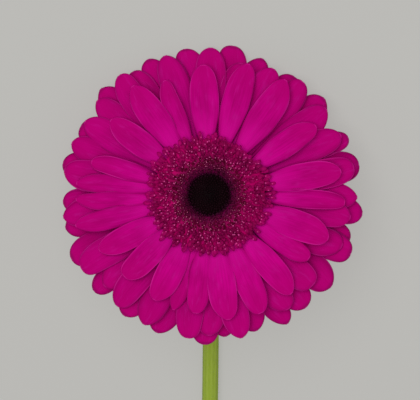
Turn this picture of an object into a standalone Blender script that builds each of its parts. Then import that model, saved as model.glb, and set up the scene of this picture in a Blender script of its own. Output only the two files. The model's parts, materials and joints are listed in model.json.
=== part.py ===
"""Cut gerbera, lying on a surface with its face turned up.

Metres, +Z up. The surface is z = 0. The origin is on the flat underside of the stem, just past the
neck's bend. The stem runs from there along +Y to its cut end. The bloom leans on the tips of its top
rays and faces up and towards -Y.

The bloom is built in its own frame under the empty bloom_axis: its z is height along the bloom's
axis, and a turn is an angle clockwise from the bloom's top, seen from the front.
"""

import math
import random

import bmesh
import bpy
from mathutils import Matrix, Vector

MM = 0.001

# Driving dimensions
BLOOM_TILT = math.radians(32)  # the bloom's axis from the vertical
BLOOM_HEIGHT = 36 * MM  # the bloom's centre above the surface
STEM_SIDES = 16  # one of them faces straight down
STEM_RADIUS = 3.3 * MM
STEM_END_RADIUS = 3.6 * MM
NECK_END = -12 * MM  # the y at which the neck's bend is over and the stem lies on the surface
STEM_LENGTH = 250 * MM  # from the origin to the cut end
STEM_SWAY = 9 * MM  # how far the cut end has drifted sideways
CUT_SLOPE = math.radians(38)  # the cut face from square
BLADE = 0.65 * MM  # thickness of rays and bracts
SEAT_GAP = 0.3 * MM  # between pieces that sit on each other

# The receptacle, the stem's widened top, as height and radius in the bloom's frame
RECEPTACLE = [
    (-6.0 * MM, 14.4 * MM),
    (-8.0 * MM, 13.7 * MM),
    (-10.5 * MM, 11.2 * MM),
    (-13.0 * MM, 7.8 * MM),
    (-15.5 * MM, 5.0 * MM),
    (-17.5 * MM, 3.7 * MM),
]
FLORET_SEAT = RECEPTACLE[0][0] + SEAT_GAP
NECK_START = RECEPTACLE[-1][0]
CUP_GAP = 0.6 * MM  # a little wide, because the cup and the stem have different numbers of sides
CUP_WALL = 0.9 * MM
BRACT_STATIONS = (0.0, 0.55, 1.0)
BRACT_LIFT = (-0.2 * MM, 0.4 * MM)  # how far a bract stands off the cup at its root and tip
BRACT_ROWS = [  # name, count, height of root and tip, half width
    ("low_bract", 13, -15.2 * MM, -10.2 * MM, 1.5 * MM),
    ("high_bract", 17, -13.2 * MM, -6.8 * MM, 1.8 * MM),
]

# The three rows of rays. Root is the radius they spring from, base their height there, and rise and
# fall shape the arch to the tip. Hub is the ring that their claws grow together in.
ROWS = {
    "front_rays": {
        "root": 11.2 * MM,
        "base": -2.2 * MM,
        "rise": 11.5 * MM,
        "fall": 9.5 * MM,
        "hub": (10.7 * MM, 11.7 * MM, -1.4 * MM),
    },
    "middle_rays": {
        "root": 12.5 * MM,
        "base": -3.7 * MM,
        "rise": 7.5 * MM,
        "fall": 8.5 * MM,
        "hub": (12.0 * MM, 13.0 * MM, -2.9 * MM),
    },
    "back_rays": {
        "root": 13.8 * MM,
        "base": -4.9 * MM,
        "rise": 3.7 * MM,
        "fall": 7.5 * MM,
        "hub": (13.3 * MM, 14.3 * MM, -4.2 * MM),
    },
}
HUB_SIDES = 30
# The rows are uneven, as on the real bloom: turn in degrees, reach and half width in mm
FRONT_ROW = [
    (357, 48.0, 5.4), (16, 50.6, 5.2), (35, 51.0, 5.6), (57, 46.9, 4.8), (79, 49.5, 5.1),
    (92, 50.4, 3.6), (109, 46.9, 5.5), (123, 43.8, 4.2), (140, 47.7, 4.9), (156, 47.9, 5.0),
    (172, 46.9, 5.4), (186, 44.2, 4.4), (196, 44.8, 3.5), (207, 44.0, 5.1), (226, 43.8, 4.9),
    (242, 45.8, 4.7), (256, 51.0, 4.0), (266, 49.6, 3.4), (276, 49.5, 3.7), (286, 45.4, 3.6),
    (307, 45.8, 4.8), (325, 49.3, 5.3), (338, 45.4, 3.5),
]
MIDDLE_ROW = [
    (1, 54.7, 5.8), (13, 50.5, 5.2), (26, 52.5, 5.4), (41, 54.5, 5.4), (54, 54.0, 5.8),
    (65, 53.8, 5.4), (80, 54.7, 5.6), (90, 55.0, 5.2), (99, 53.2, 5.6), (113, 53.0, 5.8),
    (132, 51.2, 5.8), (147, 51.8, 5.6), (168, 54.7, 5.4), (179, 52.5, 5.4), (189, 54.0, 5.2),
    (207, 54.3, 5.8), (221, 54.0, 5.4), (230, 52.0, 5.4), (241, 55.2, 5.6), (262, 55.2, 5.6),
    (279, 54.9, 6.0), (290, 54.9, 5.4), (300, 53.8, 5.4), (310, 54.6, 5.2), (321, 55.6, 5.2),
    (343, 54.3, 5.6),
]
BACK_ROW = [
    (10, 56.3, 5.9), (20, 54.6, 5.4), (35, 54.4, 5.8), (50, 56.1, 6.2), (67, 56.1, 4.4),
    (78, 57.0, 6.2), (96, 57.6, 5.6), (107, 55.2, 5.4), (113, 57.2, 5.8), (126, 57.0, 6.6),
    (139, 55.5, 6.2), (150, 56.5, 5.0), (161, 53.9, 5.4), (174, 53.5, 5.2), (182, 56.1, 5.6),
    (200, 55.4, 5.6), (215, 55.4, 5.8), (230, 56.5, 4.9), (246, 57.0, 6.0), (257, 55.4, 5.6),
    (267, 55.0, 5.4), (283, 56.1, 5.6), (298, 54.6, 5.6), (314, 56.8, 5.8), (328, 54.2, 5.0),
    (336, 55.7, 5.4), (352, 55.7, 5.8),
]
TUCKED_UNDER = 3.75 * MM  # a front ray with a smaller half width than this lies under its neighbours
TUCK = 1.0 * MM
UNDER = 0.7 * MM  # every second ray of the other rows lies this much lower than its neighbours

RAY_STATIONS = (0.0, 0.25, 0.55, 0.8, 0.91, 0.97, 1.0)  # where a ray's cross sections lie, root to tip
WIDEST = 0.6  # share of a ray's length where it is widest
ROUNDNESS = 4.6  # how blunt a ray's tip is, where 2 is an ellipse
CLAW = 0.28  # width at the root, as a share of the widest
TIP = 0.16  # width at the very tip, as a share of the widest
BEND_EASE = 0.8 * MM  # how softly a ray turns where it meets the surface

# The ring of open florets: the profile of the cushion that they stand on, as radius and height,
# and how each grows from inside to outside. A floret is short and upright by the middle of the
# bloom, and a long strap that leans outwards at the rim.
CUSHION_CROWN = [
    (8.5 * MM, 4.4 * MM),
    (9.5 * MM, 5.5 * MM),
    (11.5 * MM, 6.0 * MM),
    (14.5 * MM, 5.2 * MM),
    (17.5 * MM, 3.9 * MM),
    (20.5 * MM, 2.6 * MM),
]
CUSHION_UNDERSIDE = [
    (20.5 * MM, 1.8 * MM),
    (16.0 * MM, 1.2 * MM),
    (13.0 * MM, 0.6 * MM),
    (10.4 * MM, -0.4 * MM),
    (10.4 * MM, FLORET_SEAT),
    (8.5 * MM, FLORET_SEAT),
]
FLORETS = 230
FLORET_BAND = (9.1 * MM, 20.3 * MM)
FLORET_LENGTH = (1.5 * MM, 4.4 * MM)
FLORET_WIDTH = (1.3 * MM, 2.1 * MM)
FLORET_LEAN = (math.radians(-8), math.radians(74))
FLORET_ROOT = 0.9 * MM  # how far a floret or bud is sunk in
# The dark middle: the dome's profile, and the closed buds on it
DOME = [
    (0.0, 4.0 * MM),
    (3.2 * MM, 3.9 * MM),
    (6.0 * MM, 3.3 * MM),
    (8.1 * MM, 1.6 * MM),
    (8.1 * MM, FLORET_SEAT),
    (0.0, FLORET_SEAT),
]
BUDS = 64
BUD_BAND = 7.3 * MM
BUD_SIZE = (1.3 * MM, 1.1 * MM)  # width and height
GOLDEN_TURN = math.pi * (3 - math.sqrt(5))

COLOURS = {  # linear red, green, blue and roughness
    "stem_green": ((0.22, 0.32, 0.06), 0.55),
    "bract_green": ((0.11, 0.20, 0.04), 0.6),
    "ray_magenta": ((0.45, 0.003, 0.17), 0.5),
    "floret_wine": ((0.19, 0.003, 0.05), 0.5),
    "bud_black": ((0.008, 0.003, 0.005), 0.6),
}


def bloom_matrix():
    """The bloom's frame in the world, placed so that the neck's bend is over at NECK_END."""
    turn = Matrix.Rotation(BLOOM_TILT, 4, "X")
    back = neck_bend_radius() * math.cos(BLOOM_TILT) - NECK_START * math.sin(BLOOM_TILT)
    return Matrix.Translation((0, NECK_END - back, BLOOM_HEIGHT)) @ turn


def neck_bend_radius():
    drop = BLOOM_HEIGHT + NECK_START * math.cos(BLOOM_TILT) - lying_height(STEM_RADIUS)
    return drop / (1 - math.sin(BLOOM_TILT))


def lying_height(radius):
    """The height of the stem's middle where one of its flat sides lies on the surface."""
    return radius * math.cos(math.pi / STEM_SIDES)


BLOOM = bloom_matrix()
INTO_BLOOM = BLOOM.inverted()


def smooth(t):
    t = min(max(t, 0.0), 1.0)
    return t * t * (3 - 2 * t)


def between(pairs, at):
    """The value at a place in a list of (place, value) that runs downwards."""
    for (a, low), (b, high) in zip(pairs, pairs[1:]):
        if at >= b:
            return low + (high - low) * (at - a) / (b - a)
    return pairs[-1][1]


# Objects, materials and joins


def clear_scene():
    for obj in list(bpy.data.objects):
        bpy.data.objects.remove(obj, do_unlink=True)


def material(name):
    colour, roughness = COLOURS[name]
    found = bpy.data.materials.new(name)
    found.use_nodes = True
    shader = found.node_tree.nodes["Principled BSDF"]
    shader.inputs["Base Color"].default_value = (*colour, 1)
    shader.inputs["Roughness"].default_value = roughness
    shader.inputs["Metallic"].default_value = 0
    found.diffuse_color = (*colour, 1)
    return found


def add_object(name, mesh, collection):
    obj = bpy.data.objects.new(name, mesh)
    collection.objects.link(obj)
    return obj


def baked(obj):
    """A plain mesh of the object with its modifiers applied and loose caps welded."""
    bpy.context.view_layer.update()
    graph = bpy.context.evaluated_depsgraph_get()
    mesh = bpy.data.meshes.new_from_object(obj.evaluated_get(graph))
    work = bmesh.new()
    work.from_mesh(mesh)
    bmesh.ops.remove_doubles(work, verts=work.verts, dist=0.002 * MM)
    work.to_mesh(mesh)
    work.free()
    return mesh


def settle(obj, parent=None, finish=None, facet_angle=35):
    """Swaps the object's mesh for its baked one, shades it and hangs it on its parent."""
    mesh = baked(obj)
    obj.modifiers.clear()
    obj.data = mesh
    mesh.shade_smooth()
    mesh.set_sharp_from_angle(angle=math.radians(facet_angle))
    if finish:
        mesh.materials.clear()
        mesh.materials.append(finish)
    obj.parent = parent


def turned(name, profile, steps, collection):
    """A solid turned about z from a list of (radius, height) that runs down its outer side."""
    on_axis = [i for i, (radius, _) in enumerate(profile) if radius == 0]
    points = [(radius, 0, height) for radius, height in profile]
    edges = [(i, i + 1) for i in range(len(points) - 1)]
    if not on_axis:
        edges.append((len(points) - 1, 0))
    mesh = bpy.data.meshes.new(name)
    mesh.from_pydata(points, edges, [])
    obj = add_object(name, mesh, collection)
    screw = obj.modifiers.new("turn", "SCREW")
    screw.axis = "Z"
    screw.angle = math.tau
    screw.steps = screw.render_steps = steps
    screw.use_merge_vertices = True
    screw.merge_threshold = 0.01 * MM
    return obj


def blade(name, stations, place, collection):
    """A thin leaf: a grid whose rows go to the stations and whose columns run -1, 0 and 1 across."""
    work = bmesh.new()
    bmesh.ops.create_grid(work, x_segments=2, y_segments=len(stations) - 1, size=1)
    for vert in work.verts:
        row = round((vert.co.y + 1) / 2 * (len(stations) - 1))
        vert.co = place(stations[row], vert.co.x)
    bmesh.ops.triangulate(work, faces=work.faces)
    bmesh.ops.recalc_face_normals(work, faces=work.faces)
    mesh = bpy.data.meshes.new(name)
    work.to_mesh(mesh)
    work.free()
    obj = add_object(name, mesh, collection)
    wall = obj.modifiers.new("thickness", "SOLIDIFY")
    wall.thickness = BLADE
    wall.offset = 0
    settle(obj)
    return obj


def spike(name, width, depth, length, taper, sides, collection):
    """A straight tapered prism along z, standing on its root at the origin."""
    work = bmesh.new()
    bmesh.ops.create_cone(
        work, cap_ends=True, segments=sides, radius1=0.5, radius2=0.5 * taper, depth=1
    )
    bmesh.ops.translate(work, verts=work.verts, vec=(0, 0, 0.5))
    bmesh.ops.scale(work, verts=work.verts, vec=(width, depth, length))
    mesh = bpy.data.meshes.new(name)
    work.to_mesh(mesh)
    work.free()
    return add_object(name, mesh, collection)


def join(body, repeats, solver):
    """Fuses every object of the collection into the body, and removes them."""
    union = body.modifiers.new("join", "BOOLEAN")
    union.operation = "UNION"
    union.solver = solver
    union.operand_type = "COLLECTION"
    union.collection = repeats
    mesh = baked(body)
    body.modifiers.clear()
    body.data = mesh
    for obj in list(repeats.objects):
        bpy.data.objects.remove(obj, do_unlink=True)
    bpy.data.collections.remove(repeats)


def new_repeats(name):
    repeats = bpy.data.collections.new(name)
    bpy.context.scene.collection.children.link(repeats)
    return repeats


# Rays


def ray(turn, reach, half_width, drop, draw):
    """One ray's own shape. The draws are the small differences between one ray and the next."""
    return {
        "turn": math.radians(turn),
        "reach": reach,
        "half": half_width,
        "drop": drop,
        "roll": math.radians(draw.uniform(-4, 4)),
        "sway": draw.uniform(-0.8, 0.8) * MM,
        "channel": draw.uniform(-0.3, 0.5) * MM,
    }


def front_row():
    draw = random.Random(11)
    rays = []
    for turn, reach, half in FRONT_ROW:
        drop = TUCK if half * MM < TUCKED_UNDER else 0.0
        rays.append(ray(turn, reach * MM, half * MM, drop, draw))
    return rays


def full_row(shapes, seed):
    """A row that goes all the way round, its neighbours lying over and under in turn."""
    draw = random.Random(seed)
    return [
        ray(turn, reach * MM, half * MM, (i % 2) * UNDER, draw)
        for i, (turn, reach, half) in enumerate(shapes)
    ]


def ray_width(s):
    claw = CLAW + (1 - CLAW) * smooth(s / WIDEST)
    past = max(0.0, (s - WIDEST) / (1 - WIDEST))
    return max(claw * math.sqrt(1 - past**ROUNDNESS), TIP)


def on_surface(point):
    """A point of a ray, moved up where it would lie below the surface that the bloom rests on."""
    world = BLOOM @ point
    low = BLADE / 2
    if world.z < low - BEND_EASE:
        world.z = low
    elif world.z < low + BEND_EASE:
        world.z = low + (world.z - low + BEND_EASE) ** 2 / (4 * BEND_EASE)
    return INTO_BLOOM @ world


def ray_point(row, one, s, x):
    """A point of a ray's middle surface: s from root to tip, x from -1 to 1 across."""
    out = row["root"] + (one["reach"] - row["root"]) * s
    share = ray_width(s)
    side = x * one["half"] * share
    height = row["base"] + row["rise"] * s - row["fall"] * s * s
    height += side * math.sin(one["roll"]) * smooth(s / 0.3)
    height += one["channel"] * x * x * share * smooth(s / 0.3)
    height -= one["drop"] * smooth(s / 0.25)
    side += one["sway"] * s * s
    ahead = Vector((-math.sin(one["turn"]), -math.cos(one["turn"])))
    across = Vector((-math.cos(one["turn"]), math.sin(one["turn"])))
    flat = ahead * out + across * side
    return on_surface(Vector((flat.x, flat.y, height)))


def make_row(name, rays, collection, bloom, finish):
    row = ROWS[name]
    inner, outer, top = row["hub"]
    ring = [(outer, top), (outer, FLORET_SEAT), (inner, FLORET_SEAT), (inner, top)]
    hub = turned(name, ring, HUB_SIDES, collection)
    settle(hub)
    repeats = new_repeats(name + "_repeats")
    for i, one in enumerate(rays):
        blade(
            f"{name}_{i}",
            RAY_STATIONS,
            lambda s, x, one=one: ray_point(row, one, s, x),
            repeats,
        )
    join(hub, repeats, "EXACT")
    settle(hub, bloom, finish)
    return hub


# Middle of the bloom


def lean_matrix(radius, turn, height, lean):
    """Stands a piece at a radius, turn and height, leaning outwards from the bloom's axis."""
    spin = Matrix.Rotation(math.pi / 2 - turn, 4, "Z")
    return spin @ Matrix.Translation((radius, 0, height)) @ Matrix.Rotation(lean, 4, "Y")


def crown_height(crown, radius):
    """The height of a turned crown at a radius, from its profile."""
    return between([(-r, height) for r, height in crown], -radius)


def mix(ends, share):
    return ends[0] + (ends[1] - ends[0]) * share


def make_floret_ring(collection, bloom, finish):
    body = turned("floret_ring", CUSHION_CROWN + CUSHION_UNDERSIDE, 30, collection)
    settle(body)
    repeats = new_repeats("floret_repeats")
    draw = random.Random(5)
    for i in range(FLORETS):
        share = (i + 0.5) / FLORETS
        inner, outer = FLORET_BAND
        radius = math.sqrt(inner**2 + (outer**2 - inner**2) * share)
        outward = smooth((radius - inner) / (outer - inner))
        lean = mix(FLORET_LEAN, outward) + math.radians(draw.uniform(-6, 6))
        length = mix(FLORET_LENGTH, outward) * draw.uniform(0.85, 1.15) + FLORET_ROOT
        width = mix(FLORET_WIDTH, outward)
        floret = spike(f"floret_{i}", FLORET_WIDTH[0], width, length, 0.62, 3, repeats)
        place = lean_matrix(radius, i * GOLDEN_TURN, crown_height(CUSHION_CROWN, radius), lean)
        floret.data.transform(place @ Matrix.Translation((0, 0, -FLORET_ROOT)))
    join(body, repeats, "MANIFOLD")
    settle(body, bloom, finish)


def make_dark_middle(collection, bloom, finish):
    """The closed buds in the middle, packed on a low dome."""
    body = turned("dark_middle", DOME, 24, collection)
    settle(body)
    repeats = new_repeats("bud_repeats")
    width, height = BUD_SIZE
    for i in range(BUDS):
        radius = BUD_BAND * math.sqrt((i + 0.4) / BUDS)
        lean = 0.3 * radius / BUD_BAND
        bud = spike(f"bud_{i}", width, width, height + FLORET_ROOT, 0.4, 4, repeats)
        place = lean_matrix(radius, i * GOLDEN_TURN, crown_height(DOME[:4], radius), lean)
        bud.data.transform(place @ Matrix.Translation((0, 0, -FLORET_ROOT)))
    join(body, repeats, "MANIFOLD")
    settle(body, bloom, finish)


# Back of the bloom


def cup_radius(height):
    return between(RECEPTACLE, height) + CUP_GAP + CUP_WALL


def make_involucre(collection, bloom, finish):
    """The green cup behind the rays, with two rows of pointed bracts lying against it."""
    heights = [h for h, _ in RECEPTACLE[1:-1]]
    rim = RECEPTACLE[0][0] - 0.1 * MM
    outer = [(cup_radius(rim), rim)] + [(cup_radius(h), h) for h in heights]
    inner = [(radius - CUP_WALL, height) for radius, height in reversed(outer)]
    cup = turned("involucre", outer + inner, 24, collection)
    settle(cup)
    repeats = new_repeats("bract_repeats")
    draw = random.Random(2)
    for name, count, root, tip, half in BRACT_ROWS:
        for i in range(count):
            turn = math.tau * (i + draw.uniform(-0.12, 0.12)) / count
            reach = tip + draw.uniform(-0.6, 0.6) * MM
            skew = draw.uniform(0.08, 0.2) * MM

            def place(s, x, turn=turn, reach=reach, skew=skew, root=root, half=half):
                height = root + (reach - root) * s
                radius = cup_radius(height) + mix(BRACT_LIFT, s) + x * skew
                angle = turn + x * half * max(1 - s * s, 0.1) / radius
                return Vector((radius * math.sin(angle), radius * math.cos(angle), height))

            blade(f"{name}_{i}", BRACT_STATIONS, place, repeats)
    join(cup, repeats, "EXACT")
    settle(cup, bloom, finish)


# Stem


def stem_route():
    """Points and radii of the stem from the receptacle's top to the cut end, in the world."""
    route = [(BLOOM @ Vector((0, 0, height)), radius) for height, radius in RECEPTACLE]
    bend = neck_bend_radius()
    start = BLOOM @ Vector((0, 0, NECK_START))
    steps = 8
    quarter = math.pi / 2
    for i in range(1, steps + 1):
        angle = BLOOM_TILT + (quarter - BLOOM_TILT) * i / steps
        ahead = bend * (math.cos(BLOOM_TILT) - math.cos(angle))
        down = bend * (math.sin(angle) - math.sin(BLOOM_TILT))
        route.append((start + Vector((0, ahead, -down)), STEM_RADIUS))
    pieces = 9
    for i in range(1, pieces + 1):
        share = i / pieces
        radius = STEM_RADIUS + (STEM_END_RADIUS - STEM_RADIUS) * share
        sideways = STEM_SWAY * share * share
        route.append((Vector((sideways, STEM_LENGTH * share, lying_height(radius))), radius))
    return route


def make_stem(collection, cutters, finish):
    """One tube from the wide receptacle, round the neck and along the surface to a slanting cut."""
    curve = bpy.data.curves.new("stem_line", "CURVE")
    curve.dimensions = "3D"
    curve.bevel_depth = 1
    curve.bevel_resolution = (STEM_SIDES - 4) // 2
    curve.use_fill_caps = True
    line = curve.splines.new("POLY")
    route = stem_route()
    line.points.add(len(route) - 1)
    for point, (place, radius) in zip(line.points, route):
        point.co = (*place, 1)
        point.radius = radius
        point.tilt = math.pi / STEM_SIDES
    tube = add_object("stem_line", curve, collection)
    mesh = baked(tube)
    bpy.data.objects.remove(tube, do_unlink=True)
    stem = add_object("stem", mesh, collection)

    work = bmesh.new()
    bmesh.ops.create_cube(work, size=40 * MM)
    bmesh.ops.translate(work, verts=work.verts, vec=(0, 20 * MM, 0))
    cutter_mesh = bpy.data.meshes.new("slanting_cut")
    work.to_mesh(cutter_mesh)
    work.free()
    cutter = add_object("slanting_cut", cutter_mesh, cutters)
    end = route[-1][0]
    reach_back = STEM_END_RADIUS * math.tan(CUT_SLOPE)
    cutter.location = (end.x, end.y - reach_back - 1 * MM, end.z)
    cutter.rotation_euler = (CUT_SLOPE, 0, 0)
    cutter.display_type = "WIRE"
    cutter.hide_render = True

    cut = stem.modifiers.new("slanting cut", "BOOLEAN")
    cut.operation = "DIFFERENCE"
    cut.solver = "EXACT"
    cut.object = cutter
    mesh = stem.data
    mesh.shade_smooth()
    mesh.set_sharp_from_angle(angle=math.radians(40))
    mesh.materials.clear()
    mesh.materials.append(finish)


def main():
    clear_scene()
    flower = bpy.data.collections.new("cut_gerbera")
    cutters = bpy.data.collections.new("cutters")
    for collection in (flower, cutters):
        bpy.context.scene.collection.children.link(collection)
    finishes = {name: material(name) for name in COLOURS}

    bloom = bpy.data.objects.new("bloom_axis", None)
    flower.objects.link(bloom)
    bloom.matrix_world = BLOOM

    make_stem(flower, cutters, finishes["stem_green"])
    make_involucre(flower, bloom, finishes["bract_green"])
    magenta = finishes["ray_magenta"]
    make_row("back_rays", full_row(BACK_ROW, 3), flower, bloom, magenta)
    make_row("middle_rays", full_row(MIDDLE_ROW, 7), flower, bloom, magenta)
    make_row("front_rays", front_row(), flower, bloom, magenta)
    make_floret_ring(flower, bloom, finishes["floret_wine"])
    make_dark_middle(flower, bloom, finishes["bud_black"])


main()
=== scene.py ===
import json
import math
import random

import bmesh
import bpy
from mathutils import Matrix, Vector

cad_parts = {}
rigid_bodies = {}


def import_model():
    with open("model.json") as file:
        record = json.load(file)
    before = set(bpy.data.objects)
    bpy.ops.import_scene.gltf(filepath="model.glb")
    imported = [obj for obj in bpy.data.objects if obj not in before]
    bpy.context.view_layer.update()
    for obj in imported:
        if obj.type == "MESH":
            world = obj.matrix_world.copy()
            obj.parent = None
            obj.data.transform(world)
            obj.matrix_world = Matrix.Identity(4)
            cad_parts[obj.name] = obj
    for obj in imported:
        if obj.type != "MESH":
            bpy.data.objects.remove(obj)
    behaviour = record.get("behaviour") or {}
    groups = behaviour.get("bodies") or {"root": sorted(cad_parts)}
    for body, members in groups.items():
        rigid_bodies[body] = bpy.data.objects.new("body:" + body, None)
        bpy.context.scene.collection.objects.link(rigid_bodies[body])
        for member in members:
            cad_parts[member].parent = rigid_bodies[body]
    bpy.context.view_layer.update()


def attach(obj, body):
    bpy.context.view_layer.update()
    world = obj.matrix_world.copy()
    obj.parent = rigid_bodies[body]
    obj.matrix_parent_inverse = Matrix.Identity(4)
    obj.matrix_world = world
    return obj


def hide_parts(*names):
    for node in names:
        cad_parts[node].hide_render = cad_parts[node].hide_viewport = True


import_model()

mm = 0.001
goldenTurn = math.pi * (3 - math.sqrt(5))

# The bloom's own frame, as the solids have it: z is height along its axis, and a turn is an angle
# clockwise from its top, seen from the front
bloom = {
    "tilt": math.radians(32),
    "height": 36 * mm,
    "neckStart": -17.5 * mm,
    "neckEnd": -12 * mm,
    "floretSeat": -5.7 * mm,
}
stem = {
    "radius": 3.24 * mm,  # the solid's flat sides are this far from its middle
    "endRadius": 3.53 * mm,
    "length": 250 * mm,
    "sway": 9 * mm,
    "cutSlope": math.radians(38),
    "ribs": 11,
    "ribDepth": 0.11 * mm,
    "around": 66,
    "stepLength": 2.5 * mm,
    "hairs": 5200,
    "hairLength": 0.55 * mm,
    "hairWidth": 0.035 * mm,
    "hairLowest": 0.02 * mm,
    "hairLean": 0.5,
    "hairSpan": (0.6, 1.2),
    "endSpare": 1 * mm,  # the stem's middle line stops this much short, and the cut takes its slope
    "neckSteps": 24,
    "pithRings": [(0.92, 0.2), (0.92, 0.5), (0.8, 0.75), (0.5, 0.95)],  # shrink and tone, inwards
    "pithStep": 0.07 * mm,
    "flushNear": (-45 * mm, 20 * mm),  # how far along the stem the flush fades out and comes back
    "flushFar": (190 * mm, 250 * mm),
}
neckRadius = (bloom["height"] + bloom["neckStart"] * math.cos(bloom["tilt"]) - stem["radius"]) / (
    1 - math.sin(bloom["tilt"])
)
bloomBack = neckRadius * math.cos(bloom["tilt"]) - bloom["neckStart"] * math.sin(bloom["tilt"])
bloomMatrix = Matrix.Translation(
    (0, bloom["neckEnd"] - bloomBack, bloom["height"])
) @ Matrix.Rotation(bloom["tilt"], 4, "X")


class Wire:  # a node socket that arithmetic can be written on
    def __init__(self, tree, socket=None):
        self.tree = tree
        self.socket = socket

    def node(self, kind, settings=(), inputs=(), output=0):
        made = self.tree.nodes.new(kind)
        for name, value in dict(settings).items():
            if name == "curve":
                for place, height in value[1:-1]:
                    made.mapping.curves[0].points.new(place, height)
                made.mapping.curves[0].points[0].location = value[0]
                made.mapping.curves[0].points[-1].location = value[-1]
                made.mapping.update()
            else:
                setattr(made, name, value)
        for key, value in dict(inputs).items():
            if isinstance(value, Wire):
                self.tree.links.new(value.socket, made.inputs[key])
            else:
                made.inputs[key].default_value = value
        return Wire(self.tree, made.outputs[output])

    def math(self, operation, *others):
        return self.node("ShaderNodeMath", {"operation": operation}, enumerate((self, *others)))

    def flipped(self, operation, other):
        return self.node("ShaderNodeMath", {"operation": operation}, enumerate((other, self)))

    def __add__(self, other):
        return self.math("ADD", other)

    def __radd__(self, other):
        return self.math("ADD", other)

    def __sub__(self, other):
        return self.math("SUBTRACT", other)

    def __rsub__(self, other):
        return self.flipped("SUBTRACT", other)

    def __mul__(self, other):
        return self.math("MULTIPLY", other)

    def __rmul__(self, other):
        return self.math("MULTIPLY", other)

    def __truediv__(self, other):
        return self.math("DIVIDE", other)

    def __rtruediv__(self, other):
        return self.flipped("DIVIDE", other)

    def __pow__(self, other):
        return self.math("POWER", other)

    def smooth(self, low, high):  # 0 below low, 1 above high, eased between
        ends = {"Value": self, "From Min": low, "From Max": high}
        return self.node("ShaderNodeMapRange", {"interpolation_type": "SMOOTHSTEP"}, ends)

    def mix(self, first, second):  # between two colours, each a wire or three numbers
        first, second = [(*end, 1) if isinstance(end, tuple) else end for end in (first, second)]
        ends = {0: self, 6: first, 7: second}
        return self.node("ShaderNodeMix", {"data_type": "RGBA", "clamp_result": True}, ends, 2)

    def split(self):
        parts = self.node("ShaderNodeSeparateXYZ", (), {0: self}).socket.node.outputs
        return [Wire(self.tree, part) for part in parts]

    def join(self, x, y, z):
        return self.node("ShaderNodeCombineXYZ", (), {0: x, 1: y, 2: z})


def geometryTree(name, inputs):  # inputs are name: (kind, value)
    tree = bpy.data.node_groups.new(name, "GeometryNodeTree")
    for label, (kind, value) in inputs.items():
        socket = tree.interface.new_socket(label, in_out="INPUT", socket_type="NodeSocket" + kind)
        if value is not None:
            socket.default_value = value
    tree.interface.new_socket("Geometry", in_out="OUTPUT", socket_type="NodeSocketGeometry")
    start = tree.nodes.new("NodeGroupInput")
    given = {socket.name: Wire(tree, socket) for socket in start.outputs if socket.name}
    return Wire(tree), given


def endTree(wire, geometry, material):
    real = wire.node("GeometryNodeRealizeInstances", (), {"Geometry": geometry})
    done = wire.node("GeometryNodeSetMaterial", (), {"Geometry": real, "Material": material})
    end = wire.tree.nodes.new("NodeGroupOutput")
    wire.tree.links.new(done.socket, end.inputs[0])
    return wire.tree


def attribute(wire, name):
    return wire.node("GeometryNodeInputNamedAttribute", {"data_type": "FLOAT"}, {"Name": name})


def keep(wire, geometry, name, value, domain="POINT"):  # stores a number under a name
    return wire.node(
        "GeometryNodeStoreNamedAttribute",
        {"data_type": "FLOAT", "domain": domain},
        {"Geometry": geometry, "Name": name, "Value": value},
    )


def sheetRow(wire, given, crowding=None):  # one flat sheet at each point, for the tree to shape
    sizes = {"Size X": 2.0, "Size Y": 1.0, "Vertices X": given["Across"], "Vertices Y": given["Along"]}
    grid = wire.node("GeometryNodeMeshGrid", (), sizes)
    gridX, gridY, _ = wire.node("GeometryNodeInputPosition").split()
    along = gridY + 0.5
    if crowding:
        along = 1 - (1 - along) ** crowding  # closer together towards the tip, which is round
    sheet = keep(wire, keep(wire, grid, "along", along), "across", gridX)
    placed = {"Points": given["Points"], "Instance": sheet}
    copies = wire.node("GeometryNodeInstanceOnPoints", (), placed)
    return wire.node("GeometryNodeRealizeInstances", (), {"Geometry": copies})


def drawsFrom(wire, seed):  # gives random values, a fresh set for each shift of the seed
    def draw(low, high, shift):
        picked = {2: low, 3: high, 8: seed + shift}
        return wire.node("FunctionNodeRandomValue", {"data_type": "FLOAT"}, picked, 1)

    return draw


def addObject(name, mesh):
    made = bpy.data.objects.new(name, mesh)
    bpy.context.scene.collection.objects.link(made)
    return made


def plainMesh(source, name):
    bpy.context.view_layer.update()
    graph = bpy.context.evaluated_depsgraph_get()
    mesh = bpy.data.meshes.new_from_object(source.evaluated_get(graph))
    mesh.name = name
    return mesh


def grown(name, tree, base, values, finishes):  # the tree's result on the base mesh, as a plain piece
    maker = addObject(name + "Maker", base)
    modifier = maker.modifiers.new("grow", "NODES")
    modifier.node_group = tree
    for item in tree.interface.items_tree:
        if item.in_out == "INPUT" and item.name in values:
            modifier[item.identifier] = values[item.name]
    mesh = plainMesh(maker, name)
    bpy.data.objects.remove(maker, do_unlink=True)
    mesh.materials.clear()
    for finish in finishes:
        mesh.materials.append(finish)
    return addObject(name, mesh)


def pointMesh(name, rows):  # one vertex for each dictionary of numbers, which become its attributes
    mesh = bpy.data.meshes.new(name)
    mesh.from_pydata([(0, 0, 0)] * len(rows), [], [])
    for key in rows[0]:
        layer = mesh.attributes.new(key, "FLOAT", "POINT")
        layer.data.foreach_set("value", [row[key] for row in rows])
    return mesh


def applyAll(piece):
    mesh = plainMesh(piece, piece.name)
    piece.modifiers.clear()
    piece.data = mesh


def seat(piece, slot, *nodes):  # the calls that every piece needs
    piece.data.shade_smooth()
    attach(piece, "root")
    if nodes:
        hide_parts(*nodes)
    print(f"{piece.name}: {sum(len(face.vertices) - 2 for face in piece.data.polygons)} triangles")


def newMaterial(name, constants):
    made = bpy.data.materials.new(name)
    made.use_nodes = True
    shader = made.node_tree.nodes["Principled BSDF"]
    for socket, value in constants.items():
        shader.inputs[socket].default_value = value
    return made, shader, Wire(made.node_tree)


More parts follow.
